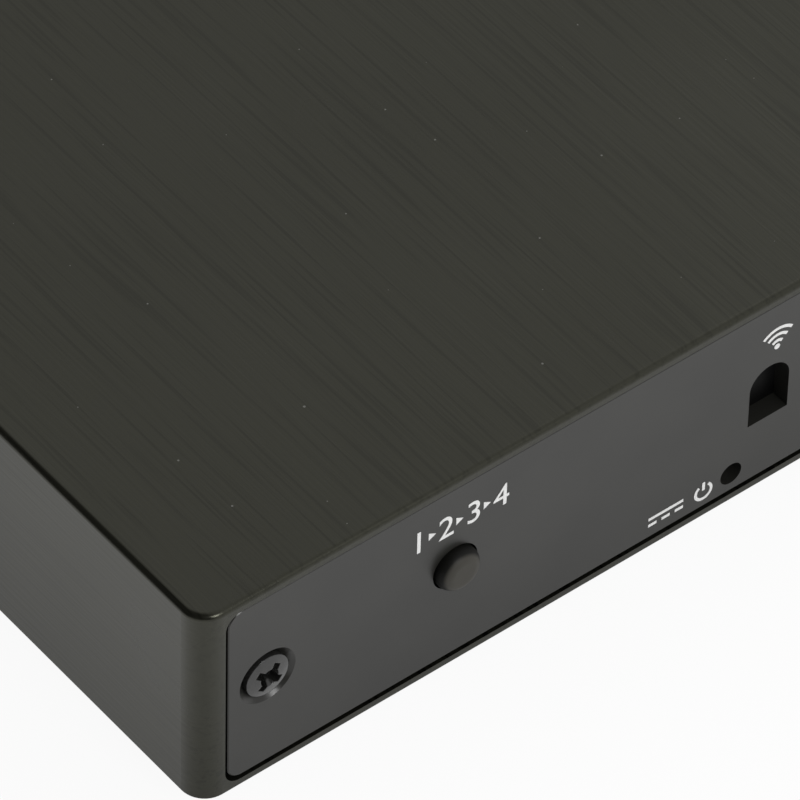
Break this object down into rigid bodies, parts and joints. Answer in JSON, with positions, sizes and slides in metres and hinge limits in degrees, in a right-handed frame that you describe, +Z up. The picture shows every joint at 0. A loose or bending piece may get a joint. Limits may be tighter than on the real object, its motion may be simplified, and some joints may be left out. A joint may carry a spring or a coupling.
{
  "type": "hdmi switch box",
  "caption": "Low black brushed-metal HDMI switch box with an inset front panel, a push button, an infrared window, indicator lights and HDMI and power sockets at the rear.",
  "frame": {"origin": "centre of the overall box in plan, on the plane under the feet", "axes": "+X to the right along the front, +Y from the front panel to the rear sockets, +Z up"},
  "size_m": [0.18, 0.0978, 0.027],
  "materials": {
    "housing": "black anodised, brushed front to rear",
    "panel": "black anodised, smooth satin",
    "screw": "black, glossy",
    "foot": "matt black",
    "board": "green solder mask",
    "button": "satin black",
    "switch_plastic": "matt black",
    "plated_steel": "nickel plated",
    "window": "dark, infrared-pass",
    "light_pipe": "smoked",
    "led": "white",
    "socket_plastic": "matt black",
    "contact": "gold plated",
    "chip": "matt black",
    "can": "bare"
  },
  "bodies": {
    "case": {"housing": "housing", "front_panel": "panel", "rear_panel": "panel", "front_panel_screws": "screw", "rear_panel_screws": "screw", "foot_1": "foot", "foot_2": "foot", "foot_3": "foot", "foot_4": "foot", "circuit_board": "board", "tact_body": "switch_plastic", "tact_bracket": "plated_steel", "ir_window": "window", "ir_receiver": "window", "ir_leads": "plated_steel", "power_light_pipe": "light_pipe", "input_light_pipe_1": "light_pipe", "input_light_pipe_2": "light_pipe", "input_light_pipe_3": "light_pipe", "input_light_pipe_4": "light_pipe", "power_led": "led", "input_led_1": "led", "input_led_2": "led", "input_led_3": "led", "input_led_4": "led", "input_shell_1": "plated_steel", "input_shell_2": "plated_steel", "input_shell_3": "plated_steel", "input_shell_4": "plated_steel", "output_shell": "plated_steel", "input_core_1": "socket_plastic", "input_core_2": "socket_plastic", "input_core_3": "socket_plastic", "input_core_4": "socket_plastic", "output_core": "socket_plastic", "input_contacts_1": "contact", "input_contacts_2": "contact", "input_contacts_3": "contact", "input_contacts_4": "contact", "output_contacts": "contact", "dc_jack_body": "socket_plastic", "dc_jack_pin": "contact", "dc_jack_spring": "contact", "switch_chip": "chip", "microcontroller": "chip", "power_inductor": "chip", "bulk_capacitor": "can", "crystal": "can"},
    "button": {"switch_button": "button", "tact_plunger": "switch_plastic"}
  },
  "joints": [
    {"name": "button_press", "type": "slide", "parent": "case", "child": "button", "axis": [0, 1, 0], "range_m": [0, 0.0003], "stiffness_N_per_m": 4000, "springref_m": -0.0002}
  ]
}
